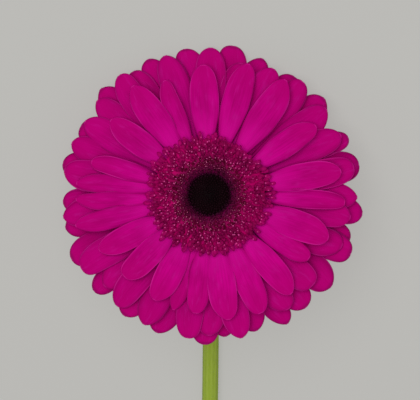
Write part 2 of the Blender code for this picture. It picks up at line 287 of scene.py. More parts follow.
def feed(shader, socket, wire):
    shader.id_data.links.new(wire.socket, shader.inputs[socket])


def stored(wire, *names):  # the numbers that a piece carries under these names
    return [wire.node("ShaderNodeAttribute", {"attribute_name": name}, (), 2) for name in names]


def noise(wire, place, scale, detail):
    return wire.node("ShaderNodeTexNoise", (), {"Vector": place, "Scale": scale, "Detail": detail})


def raised(shader, wire, strength, depth, height):  # fine relief, too small to be modelled
    bump = {"Strength": strength, "Distance": depth, "Height": height}
    feed(shader, "Normal", wire.node("ShaderNodeBump", (), bump))


# Rays: the petals, in three rows that spring from rings of their own

rays = {
    "thickness": 0.24 * mm,
    "along": 40,
    "across": 15,
    "widest": 0.6,
    "claw": 0.24,
    "tip": 0.12,
    "veins": 9,
    "veinDepth": 0.05 * mm,
    "grooveDepth": 0.16 * mm,
    "groovePlace": 0.36,  # share of the half width
    "grooveWidth": 0.13,
    "bendEase": 0.8 * mm,
    "arch": 1.1 * mm,
    "crowding": 1.5,  # how much closer its cross rows stand towards the tip
    "ripples": 17,
    "lower": 0.7 * mm,  # every second ray of the outer rows lies this far under its neighbours
    "narrow": 3.75,  # half width in mm: narrower front rays are tucked under
    "tucked": 1.0 * mm,
    "bright": (0.54, 0.0, 0.218),
    "deep": (0.35, 0.0, 0.125),
    "near": (0.62, 0.003, 0.28),
    "far": (0.43, 0.0, 0.145),
    # painted shade: covered parts and edges of the rays are darkened towards this
    "dark": (0.28, 0.0, 0.095),
    "bloom": (0.47, 0.008, 0.23),
    # the dark of the tips and tip edges: partly the rays' own colour, partly painted shade
    "tipTintAndShade": (0.13, 0.004, 0.055),
    "rim": (0.74, 0.03, 0.38),
    "under": (0.52, 0.035, 0.24),
}
rayRows = {
    "frontRays": {
        "node": "front_rays",
        "root": 11.2 * mm,
        "base": -2.2 * mm,
        "rise": 11.5 * mm,
        "fall": 9.5 * mm,
        "roundness": 3.2,
        "seed": 11,
        "covered": (0.17, 0.26, 0.4),
        "edgeShadeShare": 0.05,
        "rimShare": 0.46,
        "tipTintAndShadeShare": 0.0,
    },
    "middleRays": {
        "node": "middle_rays",
        "root": 12.5 * mm,
        "base": -3.7 * mm,
        "rise": 7.5 * mm,
        "fall": 8.5 * mm,
        "roundness": 4.4,
        "seed": 7,
        "covered": (0.4, 0.86, 0.48),
        "edgeShadeShare": 0.3,
        "rimShare": 0.36,
        "tipTintAndShadeShare": 0.3,
    },
    "backRays": {
        "node": "back_rays",
        "root": 13.8 * mm,
        "base": -4.9 * mm,
        "rise": 3.7 * mm,
        "fall": 7.5 * mm,
        "roundness": 4.8,
        "seed": 3,
        "covered": (0.55, 0.93, 0.5),
        "edgeShadeShare": 0.46,
        "rimShare": 0.3,
        "tipTintAndShadeShare": 0.62,
    },
}
raysOf = {  # turn in degrees, reach and half width in mm, as in the solids
    "frontRays": [
        (357, 48.0, 5.4), (16, 50.6, 5.2), (35, 51.0, 5.6), (57, 46.9, 4.8), (79, 49.5, 5.1),
        (92, 50.4, 3.6), (109, 46.9, 5.5), (123, 43.8, 4.2), (140, 47.7, 4.9), (156, 47.9, 5.0),
        (172, 46.9, 5.4), (186, 44.2, 4.4), (196, 44.8, 3.5), (207, 44.0, 5.1), (226, 43.8, 4.9),
        (242, 45.8, 4.7), (256, 51.0, 4.0), (266, 49.6, 3.4), (276, 49.5, 3.7), (286, 45.4, 3.6),
        (307, 45.8, 4.8), (325, 49.3, 5.3), (338, 45.4, 3.5),
    ],
    "middleRays": [
        (1, 54.7, 5.8), (13, 50.5, 5.2), (26, 52.5, 5.4), (41, 54.5, 5.4), (54, 54.0, 5.8),
        (65, 53.8, 5.4), (80, 54.7, 5.6), (90, 55.0, 5.2), (99, 53.2, 5.6), (113, 53.0, 5.8),
        (132, 51.2, 5.8), (147, 51.8, 5.6), (168, 54.7, 5.4), (179, 52.5, 5.4), (189, 54.0, 5.2),
        (207, 54.3, 5.8), (221, 54.0, 5.4), (230, 52.0, 5.4), (241, 55.2, 5.6), (262, 55.2, 5.6),
        (279, 54.9, 6.0), (290, 54.9, 5.4), (300, 53.8, 5.4), (310, 54.6, 5.2), (321, 55.6, 5.2),
        (343, 54.3, 5.6),
    ],
    "backRays": [
        (10, 56.3, 5.9), (20, 54.6, 5.4), (35, 54.4, 5.8), (50, 56.1, 6.2), (67, 56.1, 4.4),
        (78, 57.0, 6.2), (96, 57.6, 5.6), (107, 55.2, 5.4), (113, 57.2, 5.8), (126, 57.0, 6.6),
        (139, 55.5, 6.2), (150, 56.5, 5.0), (161, 53.9, 5.4), (174, 53.5, 5.2), (182, 56.1, 5.6),
        (200, 55.4, 5.6), (215, 55.4, 5.8), (230, 56.5, 4.9), (246, 57.0, 6.0), (257, 55.4, 5.6),
        (267, 55.0, 5.4), (283, 56.1, 5.6), (298, 54.6, 5.6), (314, 56.8, 5.8), (328, 54.2, 5.0),
        (336, 55.7, 5.4), (352, 55.7, 5.8),
    ],
}


raySpans = {  # how one ray differs from the next: shift of the row's seed, unit, low, high
    "roll": (0, math.radians(1), -4, 4),
    "sway": (0, mm, -0.8, 0.8),
    "channel": (0, mm, -0.3, 0.5),
    "tipCurl": (100, mm, -0.8, 1.5),
    "edgeCurl": (100, mm, -0.8, 0.8),
    "ripple": (100, mm, 0.08, 0.5),
    "phase": (100, 1, 0, 6),
    "point": (100, 1, 0.38, 0.7),  # a low one is blunt
    "shade": (100, 1, -1, 1),
    "slant": (200, mm, -1.15, 1.15),
}


def rowNumbers(name):
    draws = {shift: random.Random(rayRows[name]["seed"] + shift) for shift in (0, 100, 200)}
    made = []
    for i, (turn, reach, half) in enumerate(raysOf[name]):
        drop = (i % 2) * rays["lower"]  # neighbours lie over and under in turn
        if name == "frontRays":
            drop = rays["tucked"] if half < rays["narrow"] else 0.0
        one = {"turn": math.radians(turn), "reach": reach * mm, "half": half * mm, "drop": drop}
        for key, (shift, unit, low, high) in raySpans.items():
            one[key] = draws[shift].uniform(low, high) * unit
        made.append(one)
    return made


def rayTree():
    wire, given = geometryTree(
        "rayRow",
        {
            "Points": ("Geometry", None),
            "Along": ("Int", rays["along"]),
            "Across": ("Int", rays["across"]),
            "Root": ("Float", 0.0),
            "Base": ("Float", 0.0),
            "Rise": ("Float", 0.0),
            "Fall": ("Float", 0.0),
            "Widest": ("Float", rays["widest"]),
            "Claw": ("Float", rays["claw"]),
            "Tip": ("Float", rays["tip"]),
            "Roundness": ("Float", 4.0),
            "Groove Depth": ("Float", rays["grooveDepth"]),
            "Lowest": ("Float", rays["thickness"] / 2),
            "Bend Ease": ("Float", rays["bendEase"]),
            "Arch": ("Float", rays["arch"]),
            "Material": ("Material", None),
        },
    )
    real = sheetRow(wire, given, rays["crowding"])
    one = {name: attribute(wire, name) for name in ("turn", "reach", "half", "drop", *raySpans)}
    s = attribute(wire, "along")
    x = attribute(wire, "across")
    out = given["Root"] + (one["reach"] - given["Root"]) * s
    claw = given["Claw"] + (1 - given["Claw"]) * s.smooth(0.0, given["Widest"])
    past = ((s - given["Widest"]) / (1 - given["Widest"])).math("MAXIMUM", 0.0)
    share = (claw * (1 - past ** given["Roundness"]) ** one["point"]).math("MAXIMUM", given["Tip"])
    side = x * one["half"] * share
    opened = s.smooth(0.0, 0.3)
    tipPart = s.smooth(0.72, 1.0)
    edge = x ** 4
    grooves = groove(x, rays["groovePlace"]) + groove(x, -rays["groovePlace"])
    wave = (s * rays["ripples"] + x * 1.5 + one["phase"]).math("SINE") * one["ripple"] * x * x
    height = given["Base"] + given["Rise"] * s - given["Fall"] * s * s
    height = height + side * one["roll"].math("SINE") * opened
    height = height + (one["channel"] * x * x + one["edgeCurl"] * edge + wave) * share * opened
    height = height - one["drop"] * s.smooth(0.0, 0.25) + one["tipCurl"] * tipPart
    arched = s.smooth(0.05, 0.3) * (1 - s.smooth(0.35, 0.75))  # its edges turn down near the disc
    height = height - given["Arch"] * x * x * arched
    height = height - grooves * given["Groove Depth"] * opened * (1 - tipPart)
    side = side + one["sway"] * s * s + one["slant"] * tipPart * tipPart
    sine = one["turn"].math("SINE")
    cosine = one["turn"].math("COSINE")
    placeX = -1 * (sine * out) - cosine * side
    placeY = sine * side - cosine * out
    lean = (math.sin(bloom["tilt"]), math.cos(bloom["tilt"]))
    # what would pass through the floor is eased up onto it
    above = placeY * lean[0] + height * lean[1] + bloom["height"] - given["Lowest"]
    ease = given["Bend Ease"]
    eased = (above + ease).math("MAXIMUM", 0.0).math("MINIMUM", ease * 2)
    lift = eased * eased / (ease * 4) + (above - ease).math("MAXIMUM", 0.0) - above
    place = wire.join(placeX, placeY + lift * lean[0], height + lift * lean[1])
    shaped = wire.node("GeometryNodeSetPosition", (), {"Geometry": real, "Position": place})
    return endTree(wire, shaped, given["Material"])


def groove(x, place):
    off = (x - place) / rays["grooveWidth"]
    return (-1 * (off * off)).math("EXPONENT")


def petalFinish(name, colours, underside):
    finish, shader, wire = newMaterial(name, {"Roughness": 0.62, "Specular IOR Level": 0.01})
    along, across, shade, drop = stored(wire, "along", "across", "shade", "drop")
    streaks = noise(wire, wire.join(across * 7, along * 1.6, shade * 9), 2.2, 4.0)
    clouds = noise(wire, wire.join(across, along * 3, shade * 23), 1.4, 2.0)
    patches = noise(wire, wire.join(across * 2, along * 4, shade * 41), 1.9, 5.0)
    lines = (across * math.pi * rays["veins"]).math("COSINE")
    fine = (across * math.pi * rays["veins"] * 3.1 + streaks * 5).math("COSINE")
    sides = across.math("ABSOLUTE")
    light = streaks.smooth(0.34, 0.66) * 0.35 + clouds.smooth(0.3, 0.7) * 0.5
    light = light + shade * 0.2 + sides.smooth(0.1, 0.85) * 0.2 + lines * 0.04
    body = light.math("MINIMUM", 1.0).math("MAXIMUM", 0.0).mix(colours["deep"], colours["bright"])
    # paler near the disc: partly the rays' own paler base, partly painted highlight
    body = ((1 - along.smooth(0.25, 0.62)) * 0.85).mix(body, colours["near"])  # near the disc
    body = (along.smooth(0.55, 1.0) * 0.8).mix(body, colours["far"])
    # lavender patches at random: partly the rays' own mottling, partly painted sheen
    body = (patches.smooth(0.52, 0.74) * 0.4).mix(body, colours["bloom"])
    low, high, most = colours["covered"]  # where the row above keeps the light off
    covered = (1 - along.smooth(low, high)) * most
    # painted shade along the edges: towards the tip on the outer rows, on a lower ray's edges under its
    # neighbours, and near the disc where the edges turn down
    edgeShade = sides.smooth(0.5, 1.0) * along.smooth(0.25, 0.9) * colours["edgeShadeShare"]
    edgeShade = edgeShade + sides.smooth(0.3, 1.0) * drop * (0.4 / mm)  # its neighbours shade a lower one
    edgeShade = edgeShade + sides.smooth(0.4, 1.0) * (1 - along.smooth(0.35, 0.7)) * 0.4
    body = (edgeShade + covered).math("MINIMUM", 0.9).mix(body, colours["dark"])
    # darker tips and tip edges: partly the rays' own deeper colour, partly painted shade where the tips
    # curl away
    tipTintAndShade = sides.smooth(0.8, 1.0) * along.smooth(0.7, 0.95) + along.smooth(0.955, 1.0)
    body = (tipTintAndShade.math("MINIMUM", 1.0) * colours["tipTintAndShadeShare"]).mix(body, colours["tipTintAndShade"])
    # a pale line along the edges and the tip: partly the rays' paler margin, partly painted highlight
    # where the edge catches the light
    edge = (sides.smooth(0.92, 0.97) + along.smooth(0.985, 0.998)).math("MINIMUM", 1.0)
    rim = edge * along.smooth(0.2, 0.85) * streaks.smooth(0.2, 0.6) * colours["rimShare"]
    feed(shader, "Base Color", rim.mix(body, colours["rim"]))
    relief = lines * 0.55 + fine * 0.25 + streaks * 0.5
    if underside:
        relief = relief * -1.4  # the veins stand out there
    raised(shader, wire, 0.5, rays["veinDepth"], relief)
    return finish


def makeRays():
    tree = rayTree()
    shades = ("bright", "deep", "near", "far", "bloom", "dark", "rim", "tipTintAndShade")
    upper = {key: rays[key] for key in shades}
    lower = {
        "bright": rays["under"],
        "deep": rays["bright"],
        "near": rays["under"],
        "far": rays["bright"],
        "bloom": rays["under"],
        # painted shade on the underside: darker near the base and along the edges
        "dark": rays["deep"],
        "covered": (0.0, 0.3, 0.5),
        "edgeShadeShare": 0.4,
        "rim": rays["under"],
        "rimShare": 0.3,
        "tipTintAndShade": rays["tipTintAndShade"],
        "tipTintAndShadeShare": 0.3,
    }
    back = petalFinish("petalBack", lower, True)
    for name, row in rayRows.items():
        labels = ("Root", "Base", "Rise", "Fall", "Roundness")
        values = {label: row[label.lower()] for label in labels}
        shares = {key: row[key] for key in ("covered", "edgeShadeShare", "rimShare", "tipTintAndShadeShare")}
        top = petalFinish(name + "Face", {**upper, **shares}, False)
        piece = grown(name, tree, pointMesh(name, rowNumbers(name)), values, (top, back))
        wall = piece.modifiers.new("thickness", "SOLIDIFY")
        wall.thickness = rays["thickness"]
        wall.offset = 0
        wall.material_offset = 1
        applyAll(piece)
        piece.data.transform(bloomMatrix)
        seat(piece, "rays", row["node"])


# The disc: the cushion of open florets round a dark middle of closed buds

disc = {
    "inner": 8.15 * mm,
    "outer": 20.5 * mm,
    "crownHeight": 5.8 * mm,
    "crownRadius": 11.5 * mm,
    "crownFall": 40.0,  # how fast the crown drops away from its highest ring, per metre
    "domeRadius": 8.0 * mm,
    "domeHeight": 4.2 * mm,
    "domeFall": 36.0,
    "cushionUnder": [(20.4, 1.9), (16, 1.3), (13, 0.7), (10.4, -0.4)],  # radius and height in mm
    "cushionFoot": (10.4, 8.5),
    "cushionSteps": 14,
    "cushionAround": 72,
    "domeSteps": 10,
    "domeAround": 48,
    "cushionInside": (0.11, 0.0, 0.038),
    "cushionOutside": (0.50, 0.0, 0.13),
    "domeDeep": (0.003, 0.0, 0.001),
    "domeBlack": (0.008, 0.001, 0.003),
    "blush": (0.51, 0.0, 0.172),
    "shadow": (0.004, 0.0008, 0.002),
}
zoneUsual = {  # what a zone has unless it says otherwise: turns in degrees, lengths in mm
    "size": (1.0, 1.0),  # at its inner and its outer edge, as for the lean
    "crown": (disc["crownHeight"], disc["crownRadius"], disc["crownFall"]),
    "bright": 0.5,
    "jitter": 0.0,
    "wave": 0.0,
    "tuft": 0.0,
    "fade": 0.0,
    "blush": 0.0,
}
floretZones = {
    "rimFlorets": {
        "inner": 7.85, "outer": 8.25, "count": 140, "lean": (-80, -50), "size": (0.65, 0.75), "seed": 5,
        "deep": (0.034, 0.0006, 0.014), "mid": (0.060, 0.001, 0.024), "pale": (0.12, 0.02, 0.065),
        "bright": 0.4, "fade": 0.7, "crown": (5.3 * mm, 8.3 * mm, 17000.0),
    },
    "wakingFlorets": {
        "inner": 8.6, "outer": 10.8, "count": 240, "lean": (-42, 6), "size": (0.8, 1.0), "seed": 1,
        "deep": (0.110, 0.001, 0.034), "mid": (0.185, 0.002, 0.054), "pale": (0.30, 0.050, 0.145),
        "bright": 0.4, "jitter": 0.4, "fade": 0.7,
    },
    "innerFlorets": {
        "inner": 10.2, "outer": 13.6, "count": 270, "lean": (0, 14), "size": (0.8, 0.95), "seed": 2,
        "deep": (0.14, 0.0, 0.028), "mid": (0.122, 0.0, 0.025), "pale": (0.9, 0.19, 0.43),
        "bright": 0.42, "jitter": 0.4,
    },
    "curledFlorets": {
        "inner": 13.2, "outer": 17.2, "count": 265, "lean": (6, 34), "size": (0.92, 1.06), "seed": 3,
        "deep": (0.38, 0.0, 0.104), "mid": (0.25, 0.0, 0.068), "pale": (1.0, 0.13, 0.48),
        "bright": 0.45, "jitter": 0.5, "wave": 0.15, "tuft": 0.9,
    },
    "strapFlorets": {
        "inner": 16.8, "outer": 20.2, "count": 255, "lean": (34, 70), "size": (0.95, 1.08), "seed": 4,
        "deep": (0.39, 0.0, 0.106), "mid": (0.26, 0.0, 0.068), "pale": (1.0, 0.09, 0.46),
        "bright": 0.46, "jitter": 0.8, "wave": 0.35, "tuft": 2.6, "blush": 0.45,
    },
}
bud = {
    "width": 0.92 * mm,
    "height": 0.95 * mm,
    "heightSpan": (0.85, 1.15),
    "sunk": 0.4 * mm,
    "variants": 4,
    "hairs": 3,
    "hairOff": 0.3 * mm,
    "hairThick": (0.07 * mm, 0.06 * mm, 0.02 * mm),
    "seed": 9,
}
budCrown = (disc["domeHeight"], 0.0, disc["domeFall"])
budZones = {
    "closedBuds": {
        "inner": 0.0, "outer": 6.7, "count": 180, "lean": (0, 22), "jitter": 0.12, "seed": 21,
        "deep": (0.008, 0.0012, 0.0035), "mid": (0.012, 0.0022, 0.005), "pale": (0.010, 0.003, 0.005),
        "fade": 0.6, "crown": budCrown,
    },
    "rimBuds": {
        "inner": 6.5, "outer": 8.3, "count": 110, "lean": (16, 24), "jitter": 0.12, "seed": 22,
        "deep": (0.014, 0.001, 0.007), "mid": (0.030, 0.003, 0.014), "pale": (0.035, 0.005, 0.018),
        "fade": 0.3, "crown": budCrown,
    },
}
tufts = [  # where the ring reaches over the rays or stays short of them: the angle in degrees from
    # the bloom's own x axis, how narrow it is, and its share of a zone's tuft
    (188, 36, 1.25), (-30, 50, 1.1), (-122, 14, -1.0), (52, 24, 0.45), (-90, 60, 0.4),
]


def crownHeight(radius):
    return disc["crownHeight"] - disc["crownFall"] * (radius - disc["crownRadius"]) ** 2


def domeHeight(radius):
    return disc["domeHeight"] - disc["domeFall"] * radius ** 2


def sweep(work, tone, points, widths, thicks, tones, sides, yaw=0.0):
    # a closed strap or tube along points (out, up), flattened to its widths and thicknesses
    rings = []
    spin = Matrix.Rotation(yaw, 3, "Z")
    for i, (out, up) in enumerate(points):
        before = Vector(points[max(i - 1, 0)])
        after = Vector(points[min(i + 1, len(points) - 1)])
        ahead = (after - before).normalized()
        ring = []
        for k in range(sides):
            angle = math.tau * (k + 0.5) / sides
            across = math.cos(angle) * widths[i] / 2
            off = math.sin(angle) * thicks[i] / 2
            place = spin @ Vector((out - ahead.y * off, across, up + ahead.x * off))
            vert = work.verts.new(place)
            vert[tone] = tones[i]
            ring.append(vert)
        rings.append(ring)
    for low, high in zip(rings, rings[1:]):
        for k in range(sides):
            work.faces.new((low[k - 1], low[k], high[k], high[k - 1]))
    work.faces.new(reversed(rings[0]))
    work.faces.new(rings[-1])


def arc(start, lean, bend, length, steps):
    # points (out, up) from a start, leaning out from upright and bending further on the way
    points = [Vector(start)]
    for i in range(steps):
        angle = lean + bend * (i + 0.5) / steps
        points.append(points[-1] + Vector((math.sin(angle), math.cos(angle))) * length / steps)
    return points


floretRule = {  # what all florets share
    "variants": 6,
    "foot": -0.9 * mm,  # a tube starts this far down in the cushion
    "tubeHeights": (0.35, 0.8, 1.05),  # shares of its height
    "lipFrom": 0.8,
    "lipLean": math.radians(8),
    "lipThick": (0.2 * mm, 0.2 * mm, 0.2 * mm, 0.2 * mm, 0.12 * mm),
    "hookFrom": 0.85,
    "hookLean": 0.15,
    "curveSteps": 4,
    "beadHeights": (-1.6, -0.4, 0.0, 0.4),  # shares of its width, from its middle
    "heightSpan": (0.9, 1.1),  # a span is how far one floret may differ from the next
    "bendSpan": (0.8, 1.25),
    "lipSpan": (0.85, 1.2),
    "hookSpan": (0.8, 1.2),
    "beadSpan": (0.85, 1.15),
}
floretParts = {  # from each part's foot to its end: shares of its width, tones, sides
    "tube": ((0.7, 0.9, 1.05, 0.5), (0.0, 0.15, 0.35, 0.4), 6),
    "lip": ((0.6, 0.9, 1.0, 0.85, 0.4), (0.25, 0.4, 0.5, 0.55, 0.6), 6),
    "hook": ((0.8, 0.8, 1.0, 1.45, 0.9), (0.4, 0.5, 0.62, 0.85, 1.0), 4),
    "bead": ((0.35, 0.8, 1.0, 0.4), (0.4, 0.8, 1.0, 1.0), 5),
}


def finishedMesh(work, name):
    mesh = bpy.data.meshes.new(name)
    work.to_mesh(mesh)
    work.free()
    return mesh


def addPart(work, tone, part, path, width, thicks=None, yaw=0.0):
    shares, tones, sides = floretParts[part]
    widths = [width * share for share in shares]
    sweep(work, tone, path, widths, thicks or widths, tones, sides, yaw)


def floretMesh(name, draw, hooked, tube, lip, hook, bead):
    work = bmesh.new()
    tone = work.verts.layers.float.new("tone")
    rule = floretRule
    steps = rule["curveSteps"]
    height = tube["height"] * draw.uniform(*rule["heightSpan"])
    path = [(0, rule["foot"])] + [(0, height * share) for share in rule["tubeHeights"]]
    addPart(work, tone, "tube", path, tube["width"])
    if lip:
        bend = math.radians(lip["bend"]) * draw.uniform(*rule["bendSpan"])
        length = lip["length"] * draw.uniform(*rule["lipSpan"])
        path = arc((0, height * rule["lipFrom"]), rule["lipLean"], bend, length, steps)
        addPart(work, tone, "lip", path, lip["width"], rule["lipThick"])
    if hook and hooked:
        yaw = -math.radians(draw.uniform(*hook["yaw"]))
        bend = math.radians(draw.uniform(*hook["bend"]))
        length = hook["length"] * draw.uniform(*rule["hookSpan"])
        path = arc((0, height * rule["hookFrom"]), rule["hookLean"], bend, length, steps)
        addPart(work, tone, "hook", path, hook["width"], None, yaw)
    if not hooked:
        size = bead["width"] * draw.uniform(*rule["beadSpan"])
        path = [(0, height + bead["lift"] + size * share) for share in rule["beadHeights"]]
        addPart(work, tone, "bead", path, size)
    return finishedMesh(work, name)


floretForms = {
    "rimFlorets": {
        "tube": {"height": 0.7 * mm, "width": 0.9 * mm},
        "lip": None,
        "hook": None,
        "bead": {"width": 0.4 * mm, "lift": 0.2 * mm},
    },
    "wakingFlorets": {
        "tube": {"height": 0.8 * mm, "width": 0.9 * mm},
        "lip": None,
        "hook": None,
        "bead": {"width": 0.48 * mm, "lift": 0.35 * mm},
    },
    "innerFlorets": {
        "tube": {"height": 0.9 * mm, "width": 0.9 * mm},
        "lip": {"length": 0.8 * mm, "width": 0.9 * mm, "bend": 60},
        "hook": {"yaw": (30, 180), "bend": (30, 90), "length": 0.7 * mm, "width": 0.2 * mm},
        "bead": {"width": 0.5 * mm, "lift": 0.5 * mm},
    },
    "curledFlorets": {
        "tube": {"height": 1.0 * mm, "width": 0.9 * mm},
        "lip": {"length": 1.4 * mm, "width": 1.2 * mm, "bend": 105},
        "hook": {"yaw": (10, 175), "bend": (60, 150), "length": 1.2 * mm, "width": 0.34 * mm},
        "bead": {"width": 0.56 * mm, "lift": 0.5 * mm},
    },
    "strapFlorets": {
        "tube": {"height": 0.9 * mm, "width": 0.9 * mm},
        "lip": {"length": 2.2 * mm, "width": 1.5 * mm, "bend": 52},
        "hook": {"yaw": (5, 60), "bend": (-15, 60), "length": 1.8 * mm, "width": 0.35 * mm},
        "bead": {"width": 0.58 * mm, "lift": 0.5 * mm},
    },
}


spiralSpans = {"tip": 0.12, "lean": 0.14, "turn": 0.3, "size": (0.85, 1.15)}  # angles in radians


def spiralTree():
    wire, given = geometryTree(
        "floretSpiral",
        {
            "Variants": ("Collection", None),
            "Variant Count": ("Int", 4),
            "Count": ("Int", 100),
            "Inner": ("Float", 0.0),
            "Outer": ("Float", 0.0),
            "Crown Height": ("Float", 0.0),
            "Crown Radius": ("Float", 0.0),
            "Crown Fall": ("Float", 0.0),
            "Lean Inside": ("Float", 0.0),
            "Lean Outside": ("Float", 0.0),
            "Size Inside": ("Float", 1.0),
            "Size Outside": ("Float", 1.0),
            "Jitter": ("Float", 0.0),
            "Wave": ("Float", 0.0),
            "Tuft": ("Float", 0.0),
            "Seed": ("Int", 0),
            "Material": ("Material", None),
        },
    )
    draw = drawsFrom(wire, given["Seed"])
    line = wire.node("GeometryNodeMeshLine", (), {"Count": given["Count"]})
    index = wire.node("GeometryNodeInputIndex")
    share = (index + 0.5) / given["Count"]
    low = given["Inner"] * given["Inner"]
    radius = (low + (given["Outer"] * given["Outer"] - low) * share).math("SQRT")
    outward = (radius - given["Inner"]) / (given["Outer"] - given["Inner"])
    radius = radius + draw(-1.0, 1.0, 1) * given["Jitter"]
    angle = index * goldenTurn + draw(-1.0, 1.0, 2) * given["Jitter"] / radius
    wave = (angle * 3 + 0.8).math("SINE") + (angle * 7 + 2.0).math("SINE") * 0.8
    radius = radius + wave * outward * given["Wave"]  # the ring's edge wanders
    for towards, narrowness, reach in tufts:
        near = ((angle - math.radians(towards)).math("COSINE") * 0.5 + 0.5) ** narrowness
        radius = radius + near * outward * reach * given["Tuft"]
    off = radius - given["Crown Radius"]
    height = given["Crown Height"] - given["Crown Fall"] * off * off
    place = wire.join(radius * angle.math("COSINE"), radius * angle.math("SINE"), height)
    points = wire.node("GeometryNodeSetPosition", (), {"Geometry": line, "Position": place})
    lean = given["Lean Inside"] + (given["Lean Outside"] - given["Lean Inside"]) * outward
    tipped, leaned, turned = [
        draw(-spiralSpans[key], spiralSpans[key], shift)
        for key, shift in (("tip", 3), ("lean", 4), ("turn", 5))
    ]
    turn = wire.join(tipped, lean + leaned, angle + turned)
    facing = wire.node("FunctionNodeEulerToRotation", (), {0: turn})
    size = given["Size Inside"] + (given["Size Outside"] - given["Size Inside"]) * outward
    size = size * draw(*spiralSpans["size"], 6)
    forms = {"Collection": given["Variants"], "Separate Children": True, "Reset Children": True}
    variants = wire.node("GeometryNodeCollectionInfo", (), forms)
    choice = wire.node(
        "FunctionNodeRandomValue",
        {"data_type": "INT"},
        {4: 0, 5: given["Variant Count"] - 1, 8: given["Seed"]},
        2,
    )
    copies = wire.node(
        "GeometryNodeInstanceOnPoints",
        (),
        {
            "Points": points,
            "Instance": variants,
            "Pick Instance": True,
            "Instance Index": choice,
            "Rotation": facing,
            "Scale": wire.join(size, size, size),
        },
    )
    shaded = keep(wire, copies, "shade", draw(-1.0, 1.0, 7), "INSTANCE")
    shaded = keep(wire, shaded, "outward", outward, "INSTANCE")
    return endTree(wire, shaded, given["Material"])


def variantCollection(name, meshes):
    collection = bpy.data.collections.new(name)
    bpy.context.scene.collection.children.link(collection)
    for i, mesh in enumerate(meshes):
        collection.objects.link(bpy.data.objects.new(f"{name}{i}", mesh))
    return collection


def dropCollection(collection):
    for made in list(collection.objects):
        bpy.data.objects.remove(made, do_unlink=True)
    bpy.data.collections.remove(collection)


def floretFinish(name, deep, mid, pale, bright, fade=0.0, blush=0.0):
    # fade darkens a zone's inner edge, and blush brings its outer edge nearer to the rays' colour
    finish, shader, wire = newMaterial(name, {"Roughness": 0.6, "Specular IOR Level": 0.04})
    tone, shade, outward = stored(wire, "tone", "shade", "outward")
    place = wire.node("ShaderNodeTexCoord", (), (), 3)
    # a floret runs from deep at its foot to mid at its top; where deep is the paler, in the inner,
    # curled and strap zones, that is painted light lifting the shade among the florets
    body = (tone + shade * 0.12).smooth(0.1, 0.6).mix(deep, mid)
    cast = noise(wire, place, 170.0, 1.0)
    darker = {0: (1 - cast.smooth(0.36, 0.6)) * 0.85, 6: body, 7: (0.6, 0.6, 0.6, 1)}  # in patches
    body = wire.node("ShaderNodeMix", {"data_type": "RGBA", "blend_type": "MULTIPLY"}, darker, 2)
    if blush:
        body = (outward.smooth(0.35, 1.0) * blush).mix(body, disc["blush"])
    tips = tone.smooth(0.66, 0.95) * (bright + shade * 0.25) * shade.smooth(-0.45, -0.05)
    body = tips.math("MINIMUM", 1.0).math("MAXIMUM", 0.0).mix(body, pale)
    if fade:
        body = ((1 - outward.smooth(0.0, 0.9)) * fade).mix(body, disc["shadow"])
    feed(shader, "Base Color", body)
    raised(shader, wire, 0.4, 0.03 * mm, noise(wire, place, 900.0, 2.0))
    return finish


def turnedMesh(name, profile, steps):
    # a solid of revolution from (radius, height) pairs; its tone runs from 0 inside to 1 outside
    work = bmesh.new()
    tone = work.verts.layers.float.new("tone")
    verts = [work.verts.new((radius, 0, height)) for radius, height in profile]
    low, high = min(profile)[0], max(profile)[0]
    for vert in verts:
        vert[tone] = (vert.co.x - low) / (high - low)
    edges = [work.edges.new(pair) for pair in zip(verts, verts[1:] + verts[:1])]
    bmesh.ops.spin(
        work, geom=verts + edges, cent=(0, 0, 0), axis=(0, 0, 1), angle=math.tau, steps=steps
    )
    bmesh.ops.remove_doubles(work, verts=work.verts, dist=0.002 * mm)
    bmesh.ops.recalc_face_normals(work, faces=work.faces)
    return finishedMesh(work, name)


def makeTurned(name, profile, around, finish, slot, node):  # a turned piece on the bloom's axis
    piece = addObject(name, turnedMesh(name, profile, around))
    piece.data.materials.append(finish)
    piece.data.transform(bloomMatrix)
    seat(piece, slot, node)


def makeZone(tree, name, zone, variants, slot, node):
    zone = {**zoneUsual, **zone}
    height, radius, fall = zone["crown"]
    values = {
        "Variants": variants,
        "Variant Count": len(variants.objects),
        "Count": zone["count"],
        "Inner": zone["inner"] * mm,
        "Outer": zone["outer"] * mm,
        "Crown Height": height,
        "Crown Radius": radius,
        "Crown Fall": fall,
        "Lean Inside": math.radians(zone["lean"][0]),
        "Lean Outside": math.radians(zone["lean"][1]),
        "Size Inside": zone["size"][0],
        "Size Outside": zone["size"][1],
        "Jitter": zone["jitter"] * mm,
        "Wave": zone["wave"] * mm,
        "Tuft": zone["tuft"] * mm,
        "Seed": zone["seed"],
    }
    tones = [zone[key] for key in ("deep", "mid", "pale", "bright", "fade", "blush")]
    finish = floretFinish(name, *tones)
    piece = grown(name, tree, bpy.data.meshes.new(name + "Start"), values, (finish,))
    piece.data.transform(bloomMatrix)
    seat(piece, slot, node)


def makeCushion():
    steps = disc["cushionSteps"]
    step = (disc["outer"] - disc["inner"]) / steps
    radii = [disc["inner"] + step * i for i in range(steps + 1)]
    profile = [(radius, crownHeight(radius)) for radius in radii]
    profile += [(radius * mm, height * mm) for radius, height in disc["cushionUnder"]]
    profile += [(radius * mm, bloom["floretSeat"]) for radius in disc["cushionFoot"]]
    # the cushion runs from its own dark inner colour to an outer colour paler than the florets over it,
    # painted light that lifts the shade it lies in
    outside = disc["cushionOutside"]
    finish = floretFinish("cushionWine", disc["cushionInside"], outside, outside, 1.0)
    makeTurned("floretCushion", profile, disc["cushionAround"], finish, "florets", "floret_ring")


